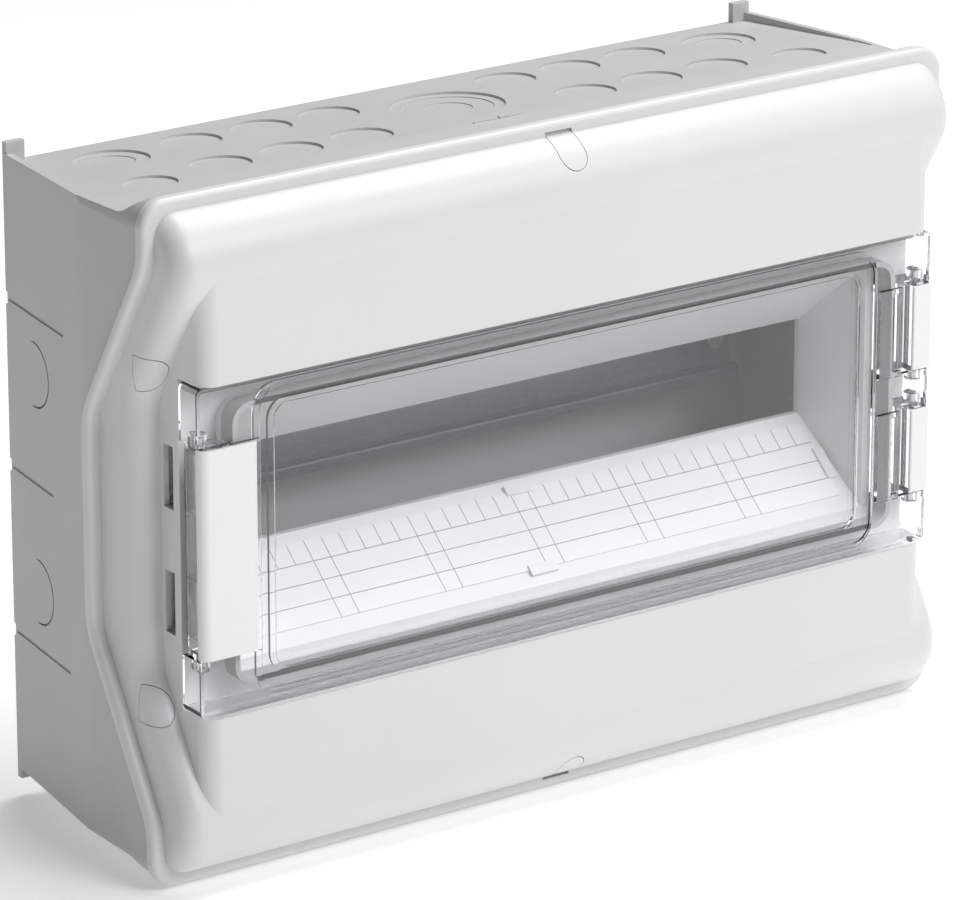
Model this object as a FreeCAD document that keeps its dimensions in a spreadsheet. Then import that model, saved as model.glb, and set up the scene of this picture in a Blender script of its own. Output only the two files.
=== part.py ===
import FreeCAD, Part
import math
import os

# Surface-mounted distribution box for one row of eighteen modules, with a clear hinged window door.
# Origin: centre of the wall face. +X right, -Y towards the person in front, +Z up. Millimetres.

DIMENSIONS = [
    ("cover_width", 418.0, "overall width, over the cover rim"),
    ("cover_height", 305.0, "overall height, over the cover rim"),
    ("rim_corner", 12.0, "corner radius of the rim seen from the front"),
    ("base_rear_width", 395.0, "width of the rear tub at the wall"),
    ("base_front_width", 415.0, "width of the rear tub at its rim"),
    ("base_height", 273.0, "height over the top and bottom faces of the tub at the wall"),
    ("side_height", 281.0, "height of the tub's side walls at the wall"),
    ("shoulder_height", 287.0, "height of the tub where its flare starts"),
    ("base_rim_height", 303.0, "height of the rear tub at its rim"),
    ("wall", 2.6, "wall thickness of the tub and the cover"),
    ("parting_ends", 124.0, "depth of the parting line at top and bottom"),
    ("parting_middle", 78.0, "depth of the parting line at mid height"),
    ("parting_knee", 48.0, "half height of the straight middle of the parting line"),
    ("slope_angle", 31.0, "lean of the sloping parts of the parting line, degrees"),
    ("gasket_gap", 1.0, "gap between tub and cover, filled by the gasket"),
    ("rim_depth", 6.0, "front of the cover rim, measured from the parting line"),
    ("saddle_width", 406.0, "width of the cover body behind its rim"),
    ("rim_round", 2.6, "rounding of the outer front edge of the rim"),
    ("bulge_radius", 24.0, "radius of the rounded bulge at top and bottom"),
    ("bulge_depth", 123.5, "depth of the bulge centre"),
    ("bulge_height", 123.5, "height of the bulge centre above the middle"),
    ("ridge_depth", 113.0, "depth of the end ridges at mid height"),
    ("ridge_round", 10.0, "radius along the crest of the end ridges"),
    ("box_width", 383.2, "width of the raised middle box"),
    ("box_depth", 146.8, "depth of the panels of the middle box"),
    ("box_round", 8.0, "rounding of the upright edges of the middle box"),
    ("box_half_height", 118.0, "half height of the middle box, buried in the bulges"),
    ("recess_depth", 128.0, "depth of the floor behind the door"),
    ("recess_height", 147.2, "height of the door recess"),
    ("mouth_width", 338.0, "width of the funnel at its front"),
    ("mouth_height", 114.0, "height of the funnel at its front"),
    ("throat_width", 326.0, "width of the device opening"),
    ("throat_height", 45.0, "height of the device opening"),
    ("throat_depth", 88.0, "depth of the device opening"),
    ("lip_width", 5.0, "distance from the funnel mouth to the sealing lip"),
    ("lip_height", 5.0, "height of the sealing lip above the recess floor"),
    ("lip_wall", 2.0, "thickness of the sealing lip"),
    ("door_width", 386.0, "width of the door"),
    ("door_height", 146.0, "height of the door"),
    ("door_front", 144.5, "depth of the front face of the door"),
    ("door_back", 130.5, "depth of the rear edges of the door walls"),
    ("door_wall", 2.4, "thickness of the door"),
    ("pane_width", 308.0, "width of the innermost window step"),
    ("pane_height", 118.0, "height of the innermost window step"),
    ("step_drop", 1.4, "drop of each step of the window"),
    ("step_ledge", 8.0, "ledge between the two window steps"),
    ("hinge_x", 189.0, "hinge axis, from the middle"),
    ("hinge_depth", 138.0, "depth of the hinge axis"),
    ("pin_radius", 1.6, "radius of the hinge pins"),
    ("pin_clearance", 0.06, "radial clearance of the door on its pins"),
    ("block_width", 14.0, "width of a hinge block"),
    ("frame_width", 29.0, "distance from the door's end to the raised frame beside a hinge block"),
    ("notch_width", 16.6, "width of the door's notches for the handle and the hinge blocks"),
    ("block_height", 40.0, "height of a hinge block"),
    ("block_centre", 29.0, "height of a hinge block above or below the middle"),
    ("block_front", 146.6, "depth of the front of a hinge block"),
    ("handle_width", 30.0, "width of the door handle"),
    ("handle_height", 94.0, "height of the door handle"),
    ("handle_front", 147.4, "depth of the front of the handle cap"),
    ("handle_pivot_x", 189.4, "pivot of the handle, from the middle"),
    ("cap_thickness", 1.18, "thickness of the light cap on the handle"),
    ("handle_pivot_depth", 139.0, "depth of the handle pivot"),
    ("slot_low", 14.0, "start of a latch slot above the middle"),
    ("slot_high", 42.0, "end of a latch slot above the middle"),
    ("slot_back", 115.8, "rear edge of the latch slots"),
    ("slot_front", 123.2, "front edge of the latch slots"),
    ("rail_length", 330.0, "length of the mounting rail"),
    ("rail_front", 41.0, "depth of the rail flanges"),
    ("rail_height", 35.0, "height of the rail"),
    ("rail_drop", 7.5, "depth of the rail's hat section"),
    ("rail_sheet", 1.0, "thickness of the rail sheet"),
    ("rail_screw_x", 155.0, "rail screws, from the middle"),
    ("screw_x", 196.1, "side cover screws, from the middle"),
    ("screw_z", 73.5, "side cover screws, above and below the middle"),
    ("centre_screw_z", 139.6, "centre cover screws, above and below the middle"),
    ("screw_radius", 3.0, "radius of a cover screw's shank"),
    ("flap_radius", 8.3, "radius of the round end of a side screw flap"),
    ("centre_flap_radius", 7.0, "radius of the round end of a centre screw flap"),
    ("flap_gap", 0.35, "gap around a screw flap"),
    ("flap_skin", 2.0, "thickness of a screw flap"),
    ("strip_length", 323.0, "length of the label strip"),
    ("strip_width", 39.0, "width of the label strip"),
    ("strip_sheet", 0.6, "thickness of the label strip"),
    ("strip_start", 6.0, "distance from the device opening to the label strip"),
    ("mount_spacing_x", 330.0, "wall screw spacing, across"),
    ("mount_spacing_z", 210.0, "wall screw spacing, up"),
    ("mount_radius", 2.75, "radius of the wall screw holes"),
]

doc = FreeCAD.newDocument("DistributionBox")
sheet = doc.addObject("Spreadsheet::Sheet", "Dims")
for row, (alias, value, note) in enumerate(DIMENSIONS, start=1):
    sheet.set("A%d" % row, note)
    sheet.set("B%d" % row, str(value))
    sheet.setAlias("B%d" % row, alias)
doc.recompute()

V = FreeCAD.Vector
AXIS_X = V(1, 0, 0)
AXIS_Y = V(0, 1, 0)
AXIS_Z = V(0, 0, 1)
nodes = []


def dim(alias):
    """Value of a driving dimension."""
    return float(sheet.get(alias))


# ---------------------------------------------------------------- document objects

def outline(name, plane, edges, offset=0.0):
    """Flat face bounded by edges that were drawn in plane XY, XZ or YZ."""
    feature = doc.addObject("Part::Feature", name)
    feature.Shape = Part.Face(Part.Wire(Part.__sortEdges__(edges)))
    normal = {"XY": AXIS_Z, "XZ": AXIS_Y, "YZ": AXIS_X}[plane]
    feature.Placement = FreeCAD.Placement(normal * offset, FreeCAD.Rotation())
    return feature


def extrude(name, profile, direction, length, both=False):
    """Solid swept from a flat face, to one side or the same length to both."""
    solid = doc.addObject("Part::Extrusion", name)
    solid.Base = profile
    solid.DirMode = "Custom"
    solid.Dir = direction
    solid.Solid = True
    solid.setExpression("LengthFwd", length)
    if both:
        solid.setExpression("LengthRev", length)
    return solid


def box(name, low, size):
    """Box from its low corner and its size, six expressions."""
    solid = doc.addObject("Part::Box", name)
    properties = ("Placement.Base.x", "Placement.Base.y", "Placement.Base.z", "Length", "Width", "Height")
    for prop, expression in zip(properties, tuple(low) + tuple(size)):
        solid.setExpression(prop, expression)
    return solid


def cylinder(name, start, direction, radius, length):
    """Cylinder from the centre of its first end, three expressions, along direction."""
    solid = doc.addObject("Part::Cylinder", name)
    solid.Placement = FreeCAD.Placement(V(), FreeCAD.Rotation(AXIS_Z, direction))
    for prop, expression in zip(("Placement.Base.x", "Placement.Base.y", "Placement.Base.z"), start):
        solid.setExpression(prop, expression)
    solid.setExpression("Radius", radius)
    solid.setExpression("Height", length)
    return solid


def fuse(name, parts):
    union = doc.addObject("Part::MultiFuse", name)
    union.Shapes = parts
    return union


def common(name, parts):
    overlap = doc.addObject("Part::MultiCommon", name)
    overlap.Shapes = parts
    return overlap


def cut(name, base, tools):
    """Base with every tool taken away."""
    remainder = doc.addObject("Part::Cut", name)
    remainder.Base = base
    remainder.Tool = tools[0] if len(tools) == 1 else fuse(name + "Tools", tools)
    return remainder


def fillet(name, base, radius, wanted):
    """Base with the edges rounded that wanted(edge, faces beside it) picks."""
    doc.recompute()
    shape = base.Shape
    picked = [number for number, edge in enumerate(shape.Edges, start=1)
              if wanted(edge, shape.ancestorsOfType(edge, Part.Face))]
    rounded = doc.addObject("Part::Fillet", name)
    rounded.Base = base
    rounded.Edges = [(number, radius, radius) for number in picked]
    return rounded


def solid_feature(name, shape):
    feature = doc.addObject("Part::Feature", name)
    feature.Shape = shape
    return feature


def node(label, obj):
    """Names the finished piece."""
    obj.Label = label
    nodes.append(obj)
    return obj


# ---------------------------------------------------------------- outlines

def to_plane(plane, first, second):
    if plane == "XY":
        return V(first, second, 0)
    if plane == "XZ":
        return V(first, 0, second)
    return V(0, first, second)


def rounded_path(plane, points, radii):
    """Edges of an open polyline whose inner corners are rounded with tangent arcs."""
    corners = [to_plane(plane, *point) for point in points]
    edges = []
    start = corners[0]
    for before, corner, after, radius in zip(corners, corners[1:], corners[2:], radii):
        if radius == 0:
            edges.append(Part.makeLine(start, corner))
            start = corner
            continue
        towards = (before - corner).normalize()
        away = (after - corner).normalize()
        half = towards.getAngle(away) / 2
        reach = radius / math.tan(half)
        first = corner + towards * reach
        last = corner + away * reach
        bisector = (towards + away).normalize()
        middle = corner + bisector * (radius / math.sin(half) - radius)
        if (first - start).Length > 1e-6:
            edges.append(Part.makeLine(start, first))
        edges.append(Part.Arc(first, middle, last).toShape())
        start = last
    edges.append(Part.makeLine(start, corners[-1]))
    return edges


def mirrored(edges, normal):
    return [edge.mirror(V(), normal) for edge in edges]


def rectangle(plane, width, height, radius):
    """Centred rectangle with round corners."""
    half = [(0, height / 2), (width / 2, height / 2), (width / 2, -height / 2), (0, -height / 2)]
    edges = rounded_path(plane, half, [radius, radius])
    return edges + mirrored(edges, AXIS_X)


SLOPE = math.radians(dim("slope_angle"))


def parting_points(shift):
    """Upper half of the parting line, moved forward by shift: depth and height."""
    ends = dim("parting_ends")
    middle = dim("parting_middle")
    knee = dim("parting_knee")
    top_knee = knee + (ends - middle) / math.tan(SLOPE)
    return [(-ends - shift, top_knee), (-middle - shift, knee), (-middle - shift, 0)]


def band(name, first, last, height):
    """Side view of the strip between two forward shifts of the parting line."""
    back = parting_points(first)
    front = parting_points(last)
    points = [back[2], back[1], back[0], (back[0][0], height)]
    points += [(front[0][0], height), front[0], front[1], front[2]]
    edges = rounded_path("YZ", points, [30, 25, 0, 0, 25, 30])
    return outline(name, "YZ", edges + mirrored(edges, AXIS_Z))


def saddle_edges(inset, rear_shift, top):
    """Side view of the cover body: bulges, slopes and end ridges in front, parting line behind."""
    radius = dim("bulge_radius") - inset
    depth = dim("bulge_depth")
    height = dim("bulge_height")
    ridge = -dim("ridge_depth") + inset
    corner = (-depth - radius * math.tan((math.pi / 2 + SLOPE) / 2), height + radius)
    tangent = (-depth - radius * math.cos(SLOPE), height - radius * math.sin(SLOPE))
    foot = (ridge, tangent[1] - (ridge - tangent[0]) / math.tan(SLOPE))
    back = parting_points(rear_shift)
    points = [back[2], back[1], back[0], (back[0][0], top), corner, foot, (ridge, 0)]
    edges = rounded_path("YZ", points, [30, 25, 0, radius, 25 + inset])
    return edges + mirrored(edges, AXIS_Z)


def ring(name, plane_depth, outer, inner, length):
    """Frame of constant width seen from the front: (width, height, corner) outside and inside."""
    outer_face = outline(name + "Outer", "XZ", rectangle("XZ", *outer), -plane_depth)
    inner_face = outline(name + "Inner", "XZ", rectangle("XZ", *inner), -plane_depth)
    outer_solid = extrude(name + "OuterSolid", outer_face, -AXIS_Y, length)
    inner_solid = extrude(name + "InnerSolid", inner_face, -AXIS_Y, length)
    return cut(name, outer_solid, [inner_solid])


# ---------------------------------------------------------------- rear tub

def plan_view(name, inset):
    """Tub seen from above, swept up and down."""
    half_rear = dim("base_rear_width") / 2 - inset
    half_rim = dim("base_front_width") / 2 - inset
    front = -dim("parting_ends") - 30
    points = [(0, 0), (half_rear, 0), (half_rim, -dim("parting_middle")), (half_rim, front), (0, front)]
    edges = rounded_path("XY", points, [0, 40, 0])
    face = outline(name + "PlanView", "XY", edges + mirrored(edges, AXIS_X))
    return extrude(name + "Plan", face, AXIS_Z, "Dims.cover_height", True)


FLARE_START = 14.0
FLARE_END = 3.0


def tub_body(name, rear, inset):
    """Tub shape: side view, plan view and front view swept and intersected."""
    shoulder = dim("shoulder_height") / 2 - inset
    rim = dim("base_rim_height") / 2 - inset
    ends = dim("parting_ends")
    points = [(-inset, 0), (-inset, rear), (-ends + FLARE_START, shoulder), (-ends + FLARE_END, rim)]
    if inset:
        points += [(-ends - 20, rim), (-ends - 20, 0)]
        radii = [0, 10, 4, 0]
    else:
        points += [(-ends, rim)] + parting_points(0)
        radii = [0, 10, 2, 0, 25, 30]
    edges = rounded_path("YZ", points, radii)
    side = extrude(name + "Side", outline(name + "SideView", "YZ", edges + mirrored(edges, AXIS_Z)),
                   AXIS_X, "Dims.cover_width", True)
    front_edges = rectangle("XZ", dim("base_front_width") - 2 * inset, 2 * rim, dim("rim_corner") - inset)
    front = extrude(name + "Front", outline(name + "FrontView", "XZ", front_edges, 5.0), -AXIS_Y,
                    "Dims.box_depth * 1.2")
    return common(name, [side, plan_view(name, inset), front])


RELIEF_LENGTH = 86.0
RELIEF_STEP = 0.4


def face_height(depth):
    """Height of the sloping top face of the tub, measured behind the step at its front."""
    rear = dim("base_height") / 2
    rise = (dim("shoulder_height") - dim("side_height")) / 2 / (dim("parting_ends") - FLARE_START)
    step = dim("side_height") / 2 + rise * RELIEF_LENGTH - RELIEF_STEP
    return rear + (step - rear) * depth / RELIEF_LENGTH


def face_reliefs():
    """Wedges that sink the top and bottom faces between the side walls, deepest at the wall."""
    across = plan_view("Relief", 3.0)
    high = dim("cover_height") / 2
    wedges = []
    for up, level in ((1, "Top"), (-1, "Bottom")):
        points = [(1, up * face_height(-1)), (-RELIEF_LENGTH, up * face_height(RELIEF_LENGTH)),
                  (-RELIEF_LENGTH, up * high), (1, up * high), (1, up * face_height(-1))]
        face = outline("Wedge" + level + "View", "YZ", rounded_path("YZ", points, [0, 0, 0]))
        wedge = extrude("Wedge" + level, face, AXIS_X, "Dims.cover_width", True)
        wedges.append(common("Relief" + level, [wedge, across]))
    return wedges


KNOCKOUT_ROWS = (
    # distance from the middle, depth from the wall, radii of the nested discs
    (0.0, 47.0, (25.5, 20.5, 11.0)),
    (47.0, 24.0, (13.7,)),
    (82.0, 24.0, (13.7,)),
    (118.0, 24.0, (13.7,)),
    (59.0, 68.0, (13.7,)),
    (95.0, 68.0, (13.7,)),
    (131.0, 68.0, (13.7,)),
    (161.0, 29.0, (16.8, 10.5)),
    (171.0, 76.0, (12.0,)),
)
DISC_SINK = 1.1
DISC_STEP = 0.4
GROOVE_WIDTH = 0.9
GROOVE_DEPTH = 0.7
SIDE_DISC_DEPTH = 28.0


def side_lean():
    """Outward lean of the side walls."""
    return (dim("base_front_width") - dim("base_rear_width")) / 2 / dim("parting_middle")


def knockouts():
    """Sunk break-out discs of the top and bottom faces, and ring grooves of those in the side walls."""
    tools = []
    slope = (face_height(RELIEF_LENGTH) - face_height(0)) / RELIEF_LENGTH
    for across, depth, radii in KNOCKOUT_ROWS:
        for side in ((1,) if across == 0 else (1, -1)):
            for up in (1, -1):
                out = V(0, slope, up).normalize()
                centre = V(side * across, -depth, up * face_height(depth))
                for index, radius in enumerate(radii):
                    floor = centre - out * (DISC_SINK + index * DISC_STEP)
                    tools.append(Part.makeCylinder(radius, 8, floor, out))
    for side in (1, -1):
        for up in (1, -1):
            reach = dim("base_rear_width") / 2 + side_lean() * SIDE_DISC_DEPTH - GROOVE_DEPTH
            centre = V(side * reach, -SIDE_DISC_DEPTH, up * 49.5)
            out = V(side, -side_lean(), 0)
            ring_groove = Part.makeCylinder(15.0, 8, centre, out).cut(
                Part.makeCylinder(15.0 - GROOVE_WIDTH, 8, centre, out))
            tools.append(ring_groove)
    return solid_feature("Knockouts", tools[0].fuse(tools[1:]))


def side_notches():
    """Half-round marks at the rear of the side walls, each with a groove running forward."""
    marks = []
    half = dim("base_rear_width") / 2
    for side in (1, -1):
        forward = V(side * side_lean(), -1, 0)
        for height, length in ((76.0, 60.0), (0.0, 46.0), (-76.0, 60.0)):
            marks.append(Part.makeCylinder(3.0, 1.8, V(side * (half - 0.8), 0, height), V(side, 0, 0)))
            marks.append(Part.makeCylinder(0.9, length, V(side * (half + 0.2), 0, height), forward))
    return solid_feature("SideNotches", Part.makeCompound(marks))


SOCKET_START = "-112.5"
SOCKET_LENGTH = "9"


def rear_tub():
    """Tub with screw pillars, wall holes, rear lugs and break-out discs."""
    outer = tub_body("TubOuter", dim("side_height") / 2, 0.0)
    wall = dim("wall")
    shell = cut("TubShell", outer, [tub_body("TubInner", dim("base_height") / 2 - wall, wall)])
    supports = []
    cuts = face_reliefs() + [knockouts(), side_notches()]
    for side, word in ((1, "Right"), (-1, "Left")):
        for up, level in ((1, "Upper"), (-1, "Lower")):
            tag = level + word
            across = "%d * Dims.screw_x" % side
            height = "%d * Dims.screw_z" % up
            supports.append(cylinder("Pillar" + tag, (across, "-1 mm", height), -AXIS_Y,
                                     "Dims.screw_radius + 2.4", "Dims.parting_middle + 8"))
            supports.append(box("Web" + tag, ("%d * Dims.base_rear_width / 2 - 7" % side,
                                              "-Dims.parting_middle - 6", height + " - 2"),
                                ("14", "Dims.parting_middle + 5", "4")))
            cuts.append(cylinder("PillarBore" + tag, (across, "-Dims.parting_middle + 14", height),
                                 -AXIS_Y, "Dims.screw_radius + 0.4", "80"))
            hole_at = ("%d * Dims.mount_spacing_x / 2" % side, "1", "%d * Dims.mount_spacing_z / 2" % up)
            cuts.append(cylinder("WallHole" + tag, hole_at, -AXIS_Y, "Dims.mount_radius", "12"))
    for up, level in ((1, "Top"), (-1, "Bottom")):
        height = "%d * Dims.centre_screw_z" % up
        supports.append(cylinder("Socket" + level, ("0", SOCKET_START, height), -AXIS_Y,
                                 "Dims.screw_radius + 2.4", SOCKET_LENGTH))
        cuts.append(cylinder("SocketBore" + level, ("0", SOCKET_START + " - 0.5", height), -AXIS_Y,
                             "Dims.screw_radius + 0.4", "30"))
    body = fuse("TubSolid", [shell, common("Supports", [fuse("SupportsAll", supports), outer])])
    finished = fuse("TubWithLugs", [cut("TubCut", body, cuts)] + tub_lugs())
    return node("base_box", finished)


def tub_lugs():
    """Small lugs on the rear corners of the side walls, and a centring rib on the top and bottom faces."""
    lugs = []
    for side, word in ((1, "Right"), (-1, "Left")):
        for up, level in ((1, "Upper"), (-1, "Lower")):
            start = "Dims.base_rear_width / 2 - 9" if side > 0 else "-Dims.base_rear_width / 2"
            low = "Dims.side_height / 2 - 4.5" if up > 0 else "-Dims.side_height / 2 - 5"
            lugs.append(box("Lug" + level + word, (start, "-3.5", low), ("9", "3.5", "9.5")))
    for up, level in ((1, "Top"), (-1, "Bottom")):
        rib = face_height(RELIEF_LENGTH) * up
        low = "%g" % (rib - 0.5 if up > 0 else rib - 1.0)
        lugs.append(box("Rib" + level, ("-13", "%g" % -RELIEF_LENGTH, low), ("25", "0.8", "1.5")))
        nub_low = "%g" % (rib - 0.5 if up > 0 else rib - 1.4)
        lugs.append(box("Nub" + level, ("0", "%g" % (-RELIEF_LENGTH - 0.6), nub_low), ("5", "2", "1.9")))
    return lugs


def cover_gasket():
    """Seal on the rim of the tub, set back a little so that it shows as a fine dark line."""
    width = dim("base_front_width") - 1.2
    height = dim("base_rim_height") - 1.2
    seal_band = extrude("SealBand", band("SealSide", 0.05, dim("gasket_gap") - 0.05, 160), AXIS_X,
                        "Dims.cover_width", True)
    corner = dim("rim_corner") - 1
    frame = ring("SealRing", 60.0, (width, height, corner), (width - 3.6, height - 3.6, corner - 1.8), "90")
    return node("cover_gasket", common("Seal", [seal_band, frame]))


# ---------------------------------------------------------------- front cover

SADDLE_TOP = dim("bulge_height") + dim("bulge_radius")


def saddle(name, inset):
    """Cover body swept across the width, with rounded end ridges; the inset ones are hollows."""
    half_width = dim("saddle_width") / 2 - inset
    edges = saddle_edges(inset, -30.0, SADDLE_TOP - inset)
    block = extrude(name + "Block", outline(name + "SideView", "YZ", edges), AXIS_X,
                    "Dims.saddle_width / 2 - %g" % inset, True)

    def on_end_ridge(edge, faces):
        bounds = edge.BoundBox
        at_end = bounds.XLength < 0.01 and abs(abs(bounds.Center.x) - half_width) < 0.01
        return at_end and bounds.Center.y < -dim("parting_ends") + 21

    return fillet(name, block, dim("ridge_round") - inset, on_end_ridge)


def saddle_front(name):
    """Outside of the cover body, ending behind at the gasket."""
    in_front = extrude(name + "Reach", band(name + "ReachSide", dim("gasket_gap"), 100, 160), AXIS_X,
                       "Dims.cover_width", True)
    return common(name, [saddle(name + "Whole", 0.0), in_front])


def middle_box(name, inset):
    """Raised middle box with its door recess; the inset one is the hollow inside it."""
    grow = "%g" % inset
    corner = ("-Dims.box_width / 2 + " + grow, "-Dims.box_depth + " + grow, "-Dims.box_half_height + " + grow)
    size = ("Dims.box_width - 2 * " + grow, "Dims.box_depth - Dims.ridge_depth + 6 - " + grow,
            "2 * Dims.box_half_height - 2 * " + grow)
    blank = box(name + "Blank", corner, size)

    def upright_front_edge(edge, faces):
        bounds = edge.BoundBox
        return bounds.ZLength > 100 and bounds.YMax < -dim("box_depth") + inset + 0.01

    panels = fillet(name + "Panels", blank, dim("box_round") - inset, upright_front_edge)
    corner = ("-Dims.box_width", "-Dims.recess_depth - 60 + " + grow, "-Dims.recess_height / 2 - " + grow)
    recess = box(name + "Recess", corner, ("2 * Dims.box_width", "60", "Dims.recess_height + 2 * " + grow))
    return panels, recess


def funnel(name, grow, front, back):
    """Square funnel from the door recess down to the device opening."""
    def frame_at(depth):
        share = (depth - dim("throat_depth")) / (dim("recess_depth") - dim("throat_depth"))
        width = dim("throat_width") + share * (dim("mouth_width") - dim("throat_width")) + 2 * grow
        height = dim("throat_height") + share * (dim("mouth_height") - dim("throat_height")) + 2 * grow
        corners = [V(x * width / 2, -depth, z * height / 2) for x, z in ((-1, -1), (1, -1), (1, 1), (-1, 1))]
        return Part.makePolygon(corners + corners[:1])

    sides = Part.makeLoft([frame_at(front), frame_at(dim("throat_depth"))], True, True)
    width = dim("throat_width") + 2 * grow
    height = dim("throat_height") + 2 * grow
    corner = V(-width / 2, -dim("throat_depth"), -height / 2)
    throat = Part.makeBox(width, dim("throat_depth") - back, height, corner)
    return solid_feature(name, sides.fuse(throat))


def label_frame():
    """Placement on the lower slope of the funnel: x along the strip, y down the slope, z off the surface."""
    run = dim("recess_depth") - dim("throat_depth")
    drop = (dim("mouth_height") - dim("throat_height")) / 2
    down = V(0, -run, -drop).normalize()
    out = V(0, 0, 1) - down * down.z
    out.normalize()
    matrix = FreeCAD.Matrix(-1, down.x, out.x, 0, 0, down.y, out.y, 0, 0, down.z, out.z, 0, 0, 0, 0, 1)
    place = FreeCAD.Placement(matrix)
    place.Base = V(0, -dim("throat_depth"), -dim("throat_height") / 2)
    return place


STRIP_GAP = 0.06


def strip_shape(grow, lift):
    """The label strip, larger all round by grow and thicker on both sides by lift."""
    length = dim("strip_length") + 2 * grow
    corner = V(-length / 2, dim("strip_start") - grow, STRIP_GAP - lift)
    shape = Part.makeBox(length, dim("strip_width") + 2 * grow, dim("strip_sheet") + 2 * lift, corner)
    shape.Placement = label_frame()
    return shape


def strip_tabs():
    """Small moulded tabs that hold the label strip at its edges."""
    end = dim("strip_start") + dim("strip_width")
    half = dim("strip_length") / 2
    tabs = []
    for x, y, width, depth in ((-12, dim("strip_start") - 3, 14, 5), (-4, end - 2, 14, 5),
                               (-half - 3, 20, 5, 16), (half - 2, 20, 5, 16)):
        tab = Part.makeBox(width, depth, 2.4, V(x, y, -0.6))
        tab.Placement = label_frame()
        tabs.append(tab)
    return tabs[0].fuse(tabs[1:]).cut(strip_shape(0.25, 0.2))


def flap_prism(radius, straight, length, place):
    """Tongue shape: straight sides from the hinge edge, then a round end, extruded along the depth."""
    right = V(radius, 0, 0)
    left = V(-radius, 0, 0)
    drop = V(0, 0, -straight)
    sides = [Part.makeLine(right, right + drop), Part.makeLine(left + drop, left), Part.makeLine(left, right),
             Part.Arc(right + drop, V(0, 0, -straight - radius), left + drop).toShape()]
    face = Part.Face(Part.Wire(Part.__sortEdges__(sides)))
    shape = face.extrude(V(0, -length, 0))
    shape.Placement = place
    return shape


FLAP_TURNS = (
    # name, turn about the depth axis, centre of the hinge edge: across, depth, height
    ("upper_left", -90, -1, 1),
    ("lower_left", -90, -1, -1),
    ("upper_right", 90, 1, 1),
    ("lower_right", 90, 1, -1),
    ("top", 0, 0, 1),
    ("bottom", 180, 0, -1),
)
SIDE_FLAP_BACK = 111.0
CENTRE_FLAP_BACK = 128.0


def flap_place(turn, side, up):
    """Where the hinge edge of a screw flap lies."""
    base = V(0, -CENTRE_FLAP_BACK, up * (SADDLE_TOP + 1.0))
    if side:
        base = V(side * (dim("saddle_width") / 2 + 1.0), -SIDE_FLAP_BACK, up * dim("screw_z"))
    return FreeCAD.Placement(base, FreeCAD.Rotation(AXIS_Y, turn))


def flap_tool(turn, side, up, shrink):
    """Tongue through the cover skin, smaller all round by shrink."""
    radius = dim("flap_radius") if side else dim("centre_flap_radius")
    straight = 3.6 if side else 7.6
    place = flap_place(turn, side, up)
    place.Base = place.Base + V(0, -shrink, 0)
    return flap_prism(radius - shrink, straight, 70, place)


def outer_front_edge(edge, faces):
    """Edges between the front and the outside of the rim."""
    centre = edge.CenterOfMass
    front = False
    outside = False
    for face in faces:
        low_u, high_u, low_v, high_v = face.ParameterRange
        normal = face.normalAt((low_u + high_u) / 2, (low_v + high_v) / 2)
        front = front or normal.y < -0.5
        outside = outside or (abs(normal.y) < 0.1 and normal.x * centre.x + normal.z * centre.z > 0)
    return front and outside


def cover_rim():
    """Flange of the cover that meets the tub, rounded outside."""
    wall = dim("wall")
    corner = dim("rim_corner")
    rim_band = extrude("RimBand", band("RimSide", dim("gasket_gap"), dim("rim_depth"), 160), AXIS_X,
                       "Dims.cover_width", True)
    frame = ring("RimRing", 60.0, (dim("cover_width"), dim("cover_height"), corner),
                 (dim("saddle_width") - 2 * wall, 2 * (SADDLE_TOP - wall), corner - 6), "90")
    return fillet("RimRounded", common("Rim", [rim_band, frame]), dim("rim_round"), outer_front_edge)


def sealing_lip():
    """Upright lip around the funnel that the door seal rests on."""
    width = dim("mouth_width") + 2 * dim("lip_width")
    height = dim("mouth_height") + 2 * dim("lip_width")
    thick = 2 * dim("lip_wall")
    return ring("Lip", dim("recess_depth") - 0.5, (width, height, 9), (width - thick, height - thick, 7),
                "Dims.lip_height + 0.5")


ARM_SLOT_LEFT = "-188.9"


def latch_slots():
    """Slots in the sides of the middle box, and in the recess floor where the latch arms pass."""
    slots = []
    for side, word in ((1, "Right"), (-1, "Left")):
        for up, level in ((1, "Upper"), (-1, "Lower")):
            low = "Dims.slot_low" if up > 0 else "-Dims.slot_high"
            tall = "Dims.slot_high - Dims.slot_low"
            corner = ("%d * Dims.box_width / 2 - 4" % side, "-Dims.slot_front", low)
            slots.append(box("Slot" + word + level, corner, ("8", "Dims.slot_front - Dims.slot_back", tall)))
            if side < 0:
                corner = (ARM_SLOT_LEFT, "-Dims.recess_depth - 5", low)
                slots.append(box("ArmSlot" + level, corner, ("8.4", "12", tall)))
    return slots


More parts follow.
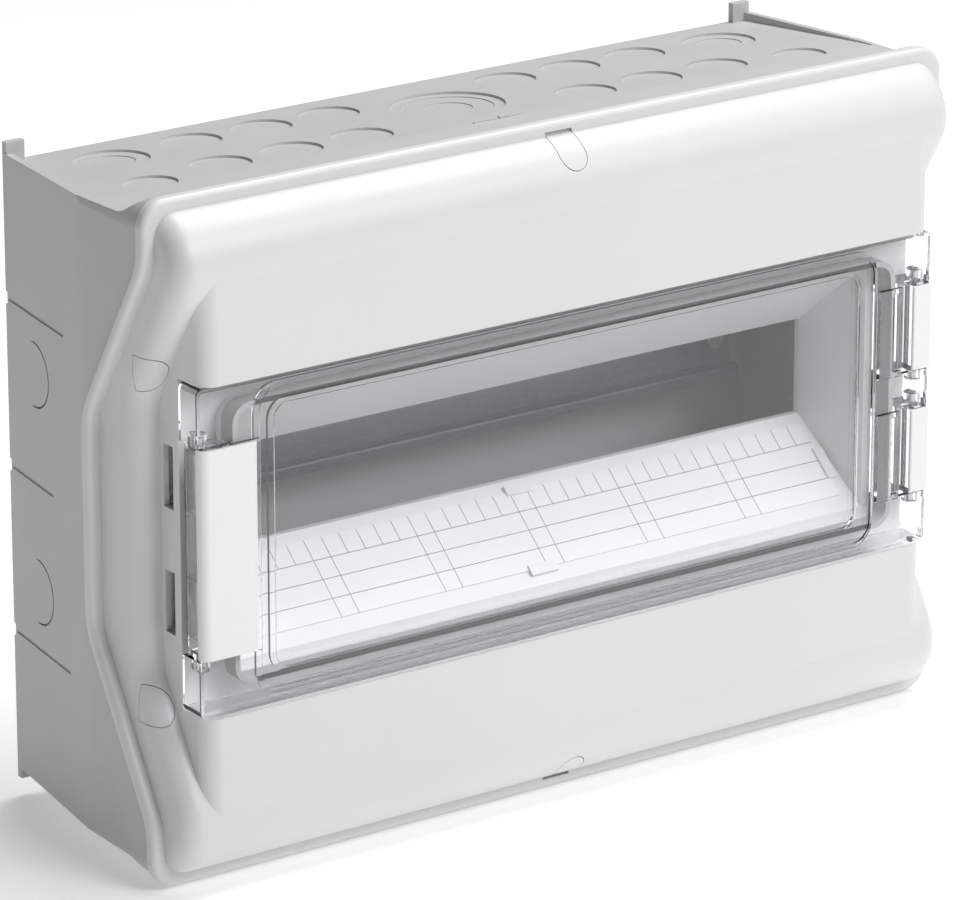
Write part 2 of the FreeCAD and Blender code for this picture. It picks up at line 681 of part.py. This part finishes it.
def front_cover():
    """Shell of the saddle and the middle box, with rim, lip, funnel, screw bosses and strip tabs."""
    wall = dim("wall")
    panels, recess = middle_box("Box", 0.0)
    inner_panels, inner_recess = middle_box("Hollow", wall)
    outside = cut("OutsideRecessed", fuse("Outside", [saddle_front("Saddle"), panels]), [recess])
    inside = cut("Inside", fuse("InsideBoth", [saddle("SaddleInner", wall), inner_panels]), [inner_recess])
    throat = dim("throat_depth")
    floor = dim("recess_depth")
    additions = [cut("CoverShell", outside, [inside]), cover_rim(), sealing_lip(),
                 funnel("FunnelOuter", wall, floor, throat - 3)]
    bores = latch_slots() + [funnel("FunnelInner", 0.0, floor + 4, throat - 8)]
    for name, turn, side, up in FLAP_TURNS:
        across, start, height, length = ("%d * Dims.screw_x" % side, "-92.4", "%d * Dims.screw_z" % up, "19")
        if not side:
            across, start, height, length = ("0", "-122.2", "%d * Dims.centre_screw_z" % up, "8")
        additions.append(cylinder("Boss_" + name, (across, start, height), -AXIS_Y,
                                  "Dims.screw_radius + 2.8", length))
        bores.append(cylinder("BossBore_" + name, (across, "-80", height), -AXIS_Y,
                              "Dims.screw_radius + 0.08", "54"))
        hole = flap_tool(turn, side, up, 0.0)
        if not side:
            hole = hole.common(Part.makeBox(40, 200, 400, V(-20, -200 - CENTRE_FLAP_BACK, -200)))
        bores.append(solid_feature("FlapHole_" + name, hole))
    body = cut("CoverBored", fuse("CoverSolid", additions), bores)
    tabs = solid_feature("StripTabs", strip_tabs())
    return node("front_cover", fuse("Cover", [body, tabs]))


def screw_flaps():
    """Thin flaps that hide the cover screws, cut from the same skin as the cover."""
    skin = cut("FlapSkin", saddle_front("FlapSkinOuter"), [saddle("FlapSkinInner", dim("flap_skin"))])
    for name, turn, side, up in FLAP_TURNS:
        tool = solid_feature("FlapTool_" + name, flap_tool(turn, side, up, dim("flap_gap")))
        node("screw_flap_" + name, common("Flap_" + name, [skin, tool]))


SIDE_SEAT = "111.42"
SIDE_TIP = "70"
CENTRE_SEAT = "130.22"
CENTRE_TIP = "114"


def cover_screws():
    """Quarter-turn screws with a wide slot, held in the bosses of the cover."""
    for name, turn, side, up in FLAP_TURNS:
        across = "%d * Dims.screw_x" % side
        height = "%d * Dims.%s" % (up, "screw_z" if side else "centre_screw_z")
        seat, tip = (SIDE_SEAT, SIDE_TIP) if side else (CENTRE_SEAT, CENTRE_TIP)
        shank = cylinder("Shank_" + name, (across, "-" + tip, height), -AXIS_Y,
                         "Dims.screw_radius", seat + " - " + tip)
        head = cylinder("Head_" + name, (across, "-" + seat, height), -AXIS_Y, "Dims.screw_radius + 0.7", "2.2")
        corner = (across + " - 6", "-" + seat + " - 3", height + " - 0.6")
        slot = box("Slot_" + name, corner, ("12", "1.8", "1.2"))
        node("cover_screw_" + name, cut("Screw_" + name, fuse("ScrewSolid_" + name, [shank, head]), [slot]))


def label_strip():
    """Card strip for circuit names, on the lower slope of the funnel."""
    return node("label_strip", solid_feature("LabelStrip", strip_shape(0.0, 0.0)))


# ---------------------------------------------------------------- door

def clear_door():
    """Shallow tray: stepped window, side walls, notches for the handle and the two hinge blocks."""
    front = dim("door_front")
    wall = dim("door_wall")
    rear = -dim("door_back")
    size = (dim("door_width"), dim("door_height"))
    outer = outline("DoorFront", "XZ", rectangle("XZ", size[0], size[1], 3.0), rear)
    inner = outline("DoorInner", "XZ", rectangle("XZ", size[0] - 2 * wall, size[1] - 2 * wall, 1.0), rear + 1)
    block = extrude("DoorBlock", outer, -AXIS_Y, "Dims.door_front - Dims.door_back")
    hollow = extrude("DoorHollow", inner, -AXIS_Y, "Dims.door_front - Dims.door_back - Dims.door_wall + 1")
    tray = cut("DoorTray", block, [hollow])
    additions = [tray]
    cuts = []
    width = dim("pane_width")
    height = dim("pane_height")
    for index in range(2):
        ledge = dim("step_ledge") * (1 - index)
        drop = dim("step_drop") * (index + 1)
        size = (width + 2 * ledge, height + 2 * ledge, 9 - 2 * index)
        thicker = (size[0] + 2 * wall, size[1] + 2 * wall, size[2] + wall)
        pad = outline("Pad%d" % index, "XZ", rectangle("XZ", *thicker), -front + wall + drop)
        dip = outline("Dip%d" % index, "XZ", rectangle("XZ", *size), -front + drop)
        additions.append(extrude("PadSolid%d" % index, pad, -AXIS_Y, "%g" % (wall + drop)))
        cuts.append(extrude("DipSolid%d" % index, dip, -AXIS_Y, "10"))
    for up in (1, -1):
        for end in (1, -1):
            height_at = "%d * Dims.block_centre + %d * (Dims.block_height / 2 + 0.6)" % (up, end)
            start = height_at if end > 0 else height_at + " - 5"
            tag = "%s%s" % ("Upper" if up > 0 else "Lower", "Top" if end > 0 else "Foot")
            foot = ("Dims.hinge_x", "-Dims.hinge_depth", start)
            additions.append(cylinder("Knuckle" + tag, foot, AXIS_Z, "3.9", "5"))
            foot = ("Dims.hinge_x", "-Dims.hinge_depth", start + " - 1")
            cuts.append(cylinder("KnuckleBore" + tag, foot, AXIS_Z,
                                 "Dims.pin_radius + Dims.pin_clearance", "7"))
        low = "%d * Dims.block_centre - Dims.block_height / 2 - 0.6" % up
        level = "Upper" if up > 0 else "Lower"
        corner = ("Dims.door_width / 2 - Dims.notch_width", "-Dims.door_front - 5", low)
        cuts.append(box("BlockNotch" + level, corner,
                        ("Dims.notch_width + 5", "30", "Dims.block_height + 1.2")))
        corner = ("Dims.door_width / 2 - Dims.frame_width", "-Dims.block_front", low)
        frame_box = box("FrameBlock" + level, corner,
                        ("Dims.frame_width - Dims.notch_width", "Dims.block_front - Dims.door_front + 1",
                         "Dims.block_height + 1.2"))
        corner = ("Dims.door_width / 2 - Dims.frame_width + 8", "-Dims.block_front - 1", low + " + 2.4")
        frame_gap = box("FrameGap" + level, corner, ("Dims.frame_width", "6", "Dims.block_height - 3.6"))
        additions.append(cut("RaisedFrame" + level, frame_box, [frame_gap]))
    corner = ("-Dims.door_width / 2 - 5", "-Dims.door_front - 3", "-Dims.handle_height / 2 - 0.5")
    cuts.append(box("HandleNotch", corner, ("Dims.notch_width + 5", "30", "Dims.handle_height + 1")))
    for up in (1, -1):
        low = "Dims.handle_height / 2 + 0.5" if up > 0 else "-Dims.handle_height / 2 - 5.5"
        tag = "Upper" if up > 0 else "Lower"
        foot = ("-Dims.handle_pivot_x", "-Dims.handle_pivot_depth", low)
        additions.append(cylinder("PivotBoss" + tag, foot, AXIS_Z, "3.4", "5"))
        foot = ("-Dims.handle_pivot_x", "-Dims.handle_pivot_depth", low + " - 0.01")
        cuts.append(cylinder("PivotBore" + tag, foot, AXIS_Z, "1.56", "4" if up > 0 else "5.1"))
    solid = fuse("DoorSolid", additions)
    return node("door_window", cut("Door", solid, cuts))


def door_gasket(door):
    """Foam seal on the rear of the door, meeting the lip around the funnel."""
    width = dim("mouth_width") + 2 * dim("lip_width") + 1.4
    height = dim("mouth_height") + 2 * dim("lip_width") + 1.4
    start = dim("recess_depth") + dim("lip_height") + 0.3
    seal = ring("DoorSeal", start, (width, height, 9), (width - 4.8, height - 4.8, 7),
                "%g" % (dim("door_front") - dim("door_wall") - 0.02 - start))
    return node("door_gasket", cut("DoorSealTrimmed", seal, [door]))


def hinge_parts():
    """Clear hinge blocks on the cover, each with a pin and a light cap."""
    edge = dim("door_width") / 2
    left = edge - dim("block_width")
    floor = -dim("recess_depth") - 0.02
    front = -dim("block_front") + 1.4
    step = -dim("hinge_depth") - 1
    steps = [(left, floor), (edge, floor), (edge, front), (edge - 10, front), (edge - 10, step), (left, step),
             (left, floor)]
    for up, level in ((1, "upper"), (-1, "lower")):
        plan = outline("BlockPlan_" + level, "XY", rounded_path("XY", steps, [0, 1.2, 0, 0, 1.0]),
                       up * dim("block_centre") - dim("block_height") / 2)
        block = extrude("BlockSolid_" + level, plan, AXIS_Z, "Dims.block_height")
        middle = "%d * Dims.block_centre" % up
        foot = ("Dims.hinge_x", "-Dims.hinge_depth", middle + " - Dims.block_height / 2 - 1")
        bore = cylinder("BlockBore_" + level, foot, AXIS_Z, "Dims.pin_radius", "Dims.block_height + 2")
        node("hinge_block_" + level, cut("Block_" + level, block, [bore]))
        foot = ("Dims.hinge_x", "-Dims.hinge_depth", middle + " - Dims.block_height / 2 - 5.8")
        node("hinge_pin_" + level,
             cylinder("Pin_" + level, foot, AXIS_Z, "Dims.pin_radius", "Dims.block_height + 11.6"))
        corner = ("Dims.door_width / 2 - 10", "-Dims.block_front", middle + " - 19.6")
        plate = box("CapPlate_" + level, corner, ("10", "1.38", "39.2"))
        node("hinge_cap_" + level, fillet("Cap_" + level, plate, 0.9, front_edge))


def front_edge(edge, faces):
    """Edges that lie in the front face of a hinge cap."""
    return edge.BoundBox.YMax < -dim("block_front") + 0.01


LEVER_ROUND = 3.0
GLUE_GAP = 0.05
LEVER_FOOT = 132.5


def door_handle():
    """Clear lever that pivots in the door, with two latch arms, and the light cap over its front edge."""
    skin = dim("cap_thickness")
    side = -dim("door_width") / 2
    lever_side = side + skin + GLUE_GAP
    inner = side + dim("handle_width")
    face = -dim("handle_front") + skin + GLUE_GAP
    back = -dim("door_front") - 0.3
    wall = dim("door_wall")
    points = [(inner, back), (inner, face), (lever_side, face), (lever_side, -LEVER_FOOT),
              (lever_side + wall, -LEVER_FOOT), (lever_side + wall, back), (inner, back)]
    plan = outline("LeverPlan", "XY", rounded_path("XY", points, [0, LEVER_ROUND, 0.8, 0, 1.4]),
                   -dim("handle_height") / 2)
    pieces = [extrude("LeverPlate", plan, AXIS_Z, "Dims.handle_height")]
    for up, level in ((1, "Upper"), (-1, "Lower")):
        low = "Dims.handle_height / 2 - 2.4" if up > 0 else "-Dims.handle_height / 2"
        pieces.append(box("LeverEnd" + level, ("%g" % (lever_side + 1.2), "-Dims.handle_front + 2", low),
                          ("13.2", "Dims.handle_front - 136", "2.4")))
        stub = "Dims.handle_height / 2 - 1" if up > 0 else "-Dims.handle_height / 2 - 4"
        foot = ("-Dims.handle_pivot_x", "-Dims.handle_pivot_depth", stub)
        pieces.append(cylinder("LeverStub" + level, foot, AXIS_Z, "1.5", "5"))
        low_z = "Dims.slot_low + 1" if up > 0 else "-Dims.slot_high + 1"
        tall = "Dims.slot_high - Dims.slot_low - 2"
        pieces.append(box("Arm" + level, ("-187.2", "-Dims.handle_front + 2", low_z),
                          ("2", "Dims.handle_front - 118.5", tall)))
        pieces.append(box("Claw" + level, ("-188.7", "-Dims.slot_front + 0.7", low_z), ("2.4", "6", tall)))
    node("handle_lever", fuse("Lever", pieces))
    end = inner - 2.4
    front = -dim("handle_front")
    heel = front + LEVER_ROUND + 1.4
    cap_points = [(end, face - GLUE_GAP), (end, front), (side, front), (side, heel), (side + skin, heel),
                  (side + skin, face - GLUE_GAP), (end, face - GLUE_GAP)]
    cap_edges = rounded_path("XY", cap_points, [0.6, LEVER_ROUND + skin, 0, 0, LEVER_ROUND])
    cap_plan = outline("CapPlan", "XY", cap_edges, -dim("handle_height") / 2 + 0.5)
    node("handle_cap", extrude("HandleCap", cap_plan, AXIS_Z, "Dims.handle_height - 1"))


# ---------------------------------------------------------------- mounting rail

def mounting_rail():
    """Hat-section rail on two brackets, each held with one pan-head screw."""
    front = -dim("rail_front")
    sheet_metal = dim("rail_sheet")
    rear = front + dim("rail_drop")
    flange = dim("rail_height") / 2
    crown = flange - 5.0
    points = [(rear, 0), (rear, crown + sheet_metal), (front + sheet_metal, crown + sheet_metal),
              (front + sheet_metal, flange), (front, flange), (front, crown), (rear - sheet_metal, crown),
              (rear - sheet_metal, 0)]
    edges = rounded_path("YZ", points, [1.2, 0.4, 0, 0, 1.2, 0.4])
    hat = extrude("RailHat", outline("RailSection", "YZ", edges + mirrored(edges, AXIS_Z)), AXIS_X,
                  "Dims.rail_length / 2", True)
    holes = [cylinder("RailHole%d" % (side + 2), ("%d * Dims.rail_screw_x" % side, "-20", "0"), -AXIS_Y,
                      "2.6", "25") for side in (1, -1)]
    node("din_rail", cut("Rail", hat, holes))
    for side, word in ((1, "right"), (-1, "left")):
        rail_bracket("%d * Dims.rail_screw_x" % side, word)
        rail_screw("%d * Dims.rail_screw_x" % side, word)


RAIL_SEAT = "Dims.rail_front - Dims.rail_drop"


def rail_bracket(centre, word):
    """Hollow post on a foot that carries one end of the rail."""
    post = box("Post_" + word, (centre + " - 11", "-(%s) + 0.02" % RAIL_SEAT, "-12"),
               ("22", RAIL_SEAT + " - Dims.wall - 0.04", "24"))
    foot = box("Foot_" + word, (centre + " - 11", "-Dims.wall - 3", "-24"), ("22", "2.98", "48"))
    hollow = box("PostHollow_" + word, (centre + " - 8.5", "-(%s) + 4" % RAIL_SEAT, "-14"),
                 ("17", RAIL_SEAT + " - Dims.wall - 7", "28"))
    bore = cylinder("PostBore_" + word, (centre, "-20", "0"), -AXIS_Y, "2.04", "20")
    solid = fuse("BracketSolid_" + word, [post, foot])
    node("rail_bracket_" + word, cut("Bracket_" + word, solid, [hollow, bore]))


def rail_screw(centre, word):
    """Pan-head screw with a cross recess."""
    shank = cylinder("RailShank_" + word, (centre, "-24", "0"), -AXIS_Y, "2", "Dims.rail_front - 30.4")
    head = cylinder("RailHead_" + word, (centre, "-(%s) - Dims.rail_sheet - 0.02" % RAIL_SEAT, "0"), -AXIS_Y,
                    "4.4", "2.4")
    floor = "-(%s) - 5" % RAIL_SEAT
    level_slot = box("RailSlotLevel_" + word, (centre + " - 3", floor, "-0.5"), ("6", "2.6", "1"))
    upright_slot = box("RailSlotUpright_" + word, (centre + " - 0.5", floor, "-3"), ("1", "2.6", "6"))
    solid = fuse("RailScrewSolid_" + word, [shank, head])
    node("rail_screw_" + word, cut("RailScrew_" + word, solid, [level_slot, upright_slot]))


# ---------------------------------------------------------------- build and write

rear_tub()
cover_gasket()
front_cover()
screw_flaps()
cover_screws()
label_strip()
door_gasket(clear_door())
hinge_parts()
door_handle()
mounting_rail()
doc.recompute()

for obj in doc.Objects:
    if "Invalid" in obj.State or "Error" in obj.State:
        raise RuntimeError("%s is %s" % (obj.Label, obj.State))
for piece in nodes:
    shape = piece.Shape
    if shape.isNull() or not shape.isValid() or len(shape.Solids) != 1:
        raise RuntimeError("%s is not one valid solid: %d" % (piece.Label, len(shape.Solids)))

os.makedirs("parts", exist_ok=True)
for piece in nodes:
    piece.Shape.exportStep("parts/%s.step" % piece.Label)
    bounds = piece.Shape.BoundBox
    extents = (bounds.XMin, bounds.XMax, bounds.YMin, bounds.YMax, bounds.ZMin, bounds.ZMax)
    print("%-26s volume %9.0f  x %7.1f %7.1f  y %7.1f %7.1f  z %7.1f %7.1f" % (
        (piece.Label, piece.Shape.Volume) + extents))
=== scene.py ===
import math
import bpy
from mathutils import Matrix, Vector


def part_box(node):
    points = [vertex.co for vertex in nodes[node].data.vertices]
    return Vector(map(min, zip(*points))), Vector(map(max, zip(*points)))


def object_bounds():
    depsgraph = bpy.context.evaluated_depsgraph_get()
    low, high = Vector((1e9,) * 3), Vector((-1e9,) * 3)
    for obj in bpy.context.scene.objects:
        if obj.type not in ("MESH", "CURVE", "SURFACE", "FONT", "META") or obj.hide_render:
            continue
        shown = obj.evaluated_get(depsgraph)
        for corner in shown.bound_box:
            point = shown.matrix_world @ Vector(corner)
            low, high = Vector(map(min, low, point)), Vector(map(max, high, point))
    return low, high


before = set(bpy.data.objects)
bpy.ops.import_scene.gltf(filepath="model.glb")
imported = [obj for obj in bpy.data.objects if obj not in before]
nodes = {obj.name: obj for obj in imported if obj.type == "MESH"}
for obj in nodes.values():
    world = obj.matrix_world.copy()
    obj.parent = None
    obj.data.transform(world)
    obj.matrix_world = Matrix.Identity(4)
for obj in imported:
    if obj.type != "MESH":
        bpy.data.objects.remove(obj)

# Looks of a distribution box with a clear window door. Metres, in the frame of the CAD model.

cad_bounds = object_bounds()
scene = bpy.context.scene


# ---------------------------------------------------------------- camera

YAW = math.radians(-34.86)
PITCH = math.radians(19.42)
DISTANCE = 2.8706
AIM_ACROSS = 0.0399
AIM_UP = -0.0315
SENSOR = 36.0
LENS = 241.1435
CLIP_START = 0.1
CLIP_END = 30


def make_camera():
    """Looks at the box from the front left and a little above."""
    forward = Vector((-math.sin(YAW) * math.cos(PITCH), math.cos(YAW) * math.cos(PITCH), -math.sin(PITCH)))
    right = Vector((math.cos(YAW), math.sin(YAW), 0))
    up = right.cross(forward)
    camera = bpy.data.objects.new("Camera", bpy.data.cameras.new("Camera"))
    camera.data.sensor_width = SENSOR
    camera.data.lens = LENS
    camera.data.clip_start = CLIP_START
    camera.data.clip_end = CLIP_END
    place = right * AIM_ACROSS + up * AIM_UP - forward * DISTANCE
    rows = (right, up, -forward)
    camera.matrix_world = Matrix.Translation(place) @ Matrix(rows).transposed().to_4x4()
    scene.collection.objects.link(camera)
    scene.camera = camera


make_camera()


# ---------------------------------------------------------------- material helpers

class Nodes:
    """Short names for building one material's node tree."""

    def __init__(self, name):
        self.material = bpy.data.materials.new(name)
        self.material.use_nodes = True
        self.tree = self.material.node_tree
        self.shader = self.tree.nodes["Principled BSDF"]
        self.output = self.tree.nodes["Material Output"]
        self.position = self.add("ShaderNodeTexCoord").outputs["Object"]

    def add(self, kind, inputs=None, **settings):
        node = self.tree.nodes.new(kind)
        for key, value in settings.items():
            setattr(node, key, value)
        for key, value in (inputs or {}).items():
            self.set(node.inputs[key], value)
        return node

    def set(self, socket, value):
        if isinstance(value, bpy.types.NodeSocket):
            self.tree.links.new(value, socket)
        else:
            socket.default_value = value

    def shader_values(self, **values):
        for key, value in values.items():
            self.set(self.shader.inputs[key.replace("_", " ")], value)

    def noise(self, scale, detail=2.0, roughness=0.5, stretch=None):
        coordinate = self.position
        if stretch:
            coordinate = self.add("ShaderNodeMapping", {"Vector": coordinate, "Scale": stretch}).outputs[0]
        settings = {"Vector": coordinate, "Scale": scale, "Detail": detail, "Roughness": roughness}
        return self.add("ShaderNodeTexNoise", settings).outputs["Fac"]

    def remap(self, value, low, high, to_low, to_high):
        settings = {"Value": value, "From Min": low, "From Max": high, "To Min": to_low, "To Max": to_high}
        return self.add("ShaderNodeMapRange", settings).outputs["Result"]

    def math(self, operation, first, second=0.0, third=0.0):
        node = self.add("ShaderNodeMath", operation=operation)
        for socket, value in zip(node.inputs, (first, second, third)):
            self.set(socket, value)
        return node.outputs[0]

    def mix(self, factor, first, second):
        node = self.add("ShaderNodeMix", data_type="RGBA")
        self.set(node.inputs["Factor"], factor)
        self.set(node.inputs["A"], first)
        self.set(node.inputs["B"], second)
        return node.outputs["Result"]

    def bump(self, height, strength, distance):
        node = self.add("ShaderNodeBump", {"Height": height, "Strength": strength, "Distance": distance})
        return node.outputs["Normal"]

    def axis(self, name):
        return self.add("ShaderNodeSeparateXYZ", {"Vector": self.position}).outputs[name]


def grey(value):
    return (value, value, value, 1.0)


PLASTIC_IOR = 1.5
GRAIN_DEPTH = 0.0004


def moulded_plastic(name, low, high, roughness, grain_scale=900, grain=0.05):
    """Injection-moulded plastic: slow tone drift, fine spark-eroded grain and slightly uneven gloss."""
    kit = Nodes(name)
    drift = kit.noise(9, 3)
    speckle = kit.noise(260, 3, 0.6)
    tone = kit.math("MULTIPLY_ADD", speckle, 0.25, kit.math("MULTIPLY", drift, 0.75))
    colour = kit.mix(kit.remap(tone, 0.3, 0.7, 0, 1), low, high)
    gloss = kit.remap(kit.noise(34, 4, 0.6), 0.25, 0.75, roughness - 0.05, roughness + 0.06)
    kit.shader_values(Base_Color=colour, Roughness=gloss)
    kit.shader.inputs["IOR"].default_value = PLASTIC_IOR
    grain_height = kit.noise(grain_scale, 2, 0.55)
    kit.shader_values(Normal=kit.bump(grain_height, grain, GRAIN_DEPTH))
    return kit


SHADOW_TINT = (0.83, 0.84, 0.85, 1)


def clear_plastic(name, tint, roughness):
    """Polished clear polycarbonate that lets lamps shine through to what is behind it."""
    kit = Nodes(name)
    ripple = kit.noise(22, 2, 0.4)
    scuff = kit.noise(420, 4, 0.7)
    kit.shader_values(Base_Color=kit.mix(kit.noise(14, 2), tint, (0.985, 0.99, 0.995, 1)),
                      Roughness=kit.remap(scuff, 0.35, 0.8, roughness, roughness + 0.05),
                      Normal=kit.bump(ripple, 0.06, 0.002))
    kit.shader.inputs["Transmission Weight"].default_value = 1.0
    kit.shader.inputs["IOR"].default_value = PLASTIC_IOR
    shadow = kit.add("ShaderNodeLightPath").outputs["Is Shadow Ray"]
    through = kit.add("ShaderNodeBsdfTransparent", {"Color": SHADOW_TINT})
    mixed = kit.add("ShaderNodeMixShader")
    kit.set(mixed.inputs[0], shadow)
    kit.set(mixed.inputs[1], kit.shader.outputs[0])
    kit.set(mixed.inputs[2], through.outputs[0])
    kit.set(kit.output.inputs["Surface"], mixed.outputs[0])
    return kit


def dress(material, *names):
    for name in names:
        mesh = nodes[name].data
        mesh.materials.clear()
        mesh.materials.append(material)


# ---------------------------------------------------------------- materials

def make_materials():
    housing = moulded_plastic("housing front", grey(0.66), grey(0.69), 0.38)
    dress(housing.material, "front_cover", *[name for name in nodes if name.startswith("screw_flap_")])
    # The rear tub is the housing plastic made darker (0.50-0.53 against 0.66-0.69): painted shade for its
    # shaded left side, balanced by the top lamp.
    shaded_tub = moulded_plastic("housing rear painted shade", grey(0.50), grey(0.53), 0.46, 700, 0.09)
    dress(shaded_tub.material, "base_box")
    caps = moulded_plastic("caps", grey(0.77), grey(0.81), 0.32, 1100, 0.03)
    dress(caps.material, "handle_cap", "hinge_cap_upper", "hinge_cap_lower")
    rubber = moulded_plastic("seal rubber", grey(0.012), grey(0.02), 0.75, 1600, 0.2)
    dress(rubber.material, "cover_gasket")
    foam = moulded_plastic("door foam", grey(0.35), grey(0.42), 0.85, 1400, 0.4)
    dress(foam.material, "door_gasket")
    clear = clear_plastic("clear door", (0.96, 0.97, 0.975, 1), 0.015)
    dress(clear.material, "door_window", "handle_lever", "hinge_block_upper", "hinge_block_lower")
    screws = moulded_plastic("nylon screws", grey(0.30), grey(0.34), 0.5, 1000, 0.1)
    dress(screws.material, *[name for name in nodes if name.startswith("cover_screw_")])
    bracket = moulded_plastic("bracket plastic", grey(0.42), grey(0.46), 0.5, 900, 0.1)
    dress(bracket.material, "rail_bracket_left", "rail_bracket_right")
    dress(zinc_plate("zinc rail", (0.11, 0.13, 0.155, 1), (0.19, 0.22, 0.25, 1), 0.40), "din_rail")
    dress(zinc_plate("zinc screws", (0.5, 0.52, 0.54, 1), (0.68, 0.7, 0.72, 1), 0.22), "rail_screw_left",
          "rail_screw_right")
    dress(zinc_plate("pin steel", (0.45, 0.46, 0.47, 1), (0.6, 0.61, 0.62, 1), 0.2), "hinge_pin_upper",
          "hinge_pin_lower")
    dress(label_card(), "label_strip")


def zinc_plate(name, dark, light, roughness):
    """Galvanised sheet: soft spangle, faint drawn lines along the length and a dull metallic shine."""
    kit = Nodes(name)
    spangle = kit.add("ShaderNodeTexVoronoi", {"Vector": kit.position, "Scale": 420.0}).outputs["Distance"]
    lines = kit.noise(900, 2, 0.5, (0.02, 1, 1))
    drift = kit.noise(12, 2)
    base = kit.math("MULTIPLY_ADD", spangle, 0.25, kit.math("MULTIPLY", drift, 0.5))
    tone = kit.math("MULTIPLY_ADD", lines, 0.3, base)
    kit.shader_values(Base_Color=kit.mix(kit.remap(tone, 0.25, 0.75, 0, 1), dark, light),
                      Roughness=kit.remap(drift, 0.2, 0.8, roughness - 0.04, roughness + 0.06),
                      Normal=kit.bump(lines, 0.05, 0.0003))
    kit.shader.inputs["Metallic"].default_value = 0.85
    return kit.material


MODULE = 0.018
HALF_MODULE = MODULE / 2
GROUP = 3 * MODULE
CELL_ROW = 0.0106
WRITING_ROWS = 3
LINE_WIDTH = 0.00036
LAST_NARROW_COLUMN = 0.14


def label_card():
    """Printed card: a row of half-module cells over three rows of writing space, wide and narrow columns."""
    low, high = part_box("label_strip")
    run = high.y - low.y
    drop = high.z - low.z
    length = math.hypot(run, drop)
    kit = moulded_plastic("label card", grey(0.70), grey(0.74), 0.5, 1200, 0.04)
    card_colour = kit.shader.inputs["Base Color"].links[0].from_socket
    across = kit.axis("X")
    back = kit.math("MULTIPLY", kit.math("SUBTRACT", high.y, kit.axis("Y")), run / length)
    down = kit.math("MULTIPLY_ADD", kit.math("SUBTRACT", high.z, kit.axis("Z")), drop / length, back)

    def near(distance):
        return kit.math("LESS_THAN", distance, LINE_WIDTH / 2)

    def row_line(at):
        return near(kit.math("ABSOLUTE", kit.math("SUBTRACT", down, at)))

    in_cells = kit.math("LESS_THAN", down, CELL_ROW)
    cell_lines = kit.math("MULTIPLY", near(kit.math("PINGPONG", across, HALF_MODULE / 2)), in_cells)
    wide = near(kit.math("PINGPONG", across, GROUP / 2))
    shifted = kit.math("SUBTRACT", across, HALF_MODULE)
    narrow = kit.math("MULTIPLY", near(kit.math("PINGPONG", shifted, GROUP / 2)),
                      kit.math("GREATER_THAN", across, -LAST_NARROW_COLUMN))
    columns = kit.math("MULTIPLY", kit.math("MAXIMUM", wide, narrow), kit.math("SUBTRACT", 1.0, in_cells))
    ink = kit.math("MAXIMUM", cell_lines, columns)
    pitch = (length - CELL_ROW) / WRITING_ROWS
    for row in range(WRITING_ROWS):
        ink = kit.math("MAXIMUM", ink, row_line(CELL_ROW + row * pitch))
    kit.shader_values(Base_Color=kit.mix(ink, card_colour, grey(0.13)))
    return kit.material


make_materials()


# ---------------------------------------------------------------- floor and light

FLOOR_GLOW = 0.30
FLOOR_REACH = 6.0
FLOOR_GAP = 0.002


def make_floor():
    low = cad_bounds[0]
    mesh = bpy.data.meshes.new("floor")
    level = low.z - FLOOR_GAP
    corners = [(x * FLOOR_REACH, y * FLOOR_REACH, level) for x, y in ((-1, -1), (1, -1), (1, 1), (-1, 1))]
    mesh.from_pydata(corners, [], [(0, 1, 2, 3)])
    floor = bpy.data.objects.new("floor", mesh)
    scene.collection.objects.link(floor)
    kit = moulded_plastic("pale floor", grey(0.88), grey(0.9), 0.7, 200, 0.02)
    kit.shader_values(Emission_Color=grey(1.0), Emission_Strength=FLOOR_GLOW)
    mesh.materials.append(kit.material)


def area_light(name, place, target, size, power):
    light = bpy.data.lights.new(name, "AREA")
    light.shape = "RECTANGLE"
    light.size, light.size_y = size
    light.energy = power
    holder = bpy.data.objects.new(name, light)
    holder.location = place
    holder.rotation_euler = (Vector(target) - Vector(place)).to_track_quat("-Z", "Y").to_euler()
    scene.collection.objects.link(holder)


def make_lights():
    area_light("key", (0.5, -2.1, 1.5), (0, 0, 0), (1.3, 1.0), 31)
    area_light("top", (0.7, 0.0, 2.2), (0, 0, 0), (1.8, 1.4), 50)
    world = bpy.data.worlds.new("world")
    world.use_nodes = True
    world.node_tree.nodes["Background"].inputs["Color"].default_value = (0.96, 0.97, 1.0, 1)
    world.node_tree.nodes["Background"].inputs["Strength"].default_value = 0.14
    scene.world = world


make_floor()
make_lights()
scene.view_settings.view_transform = "Standard"
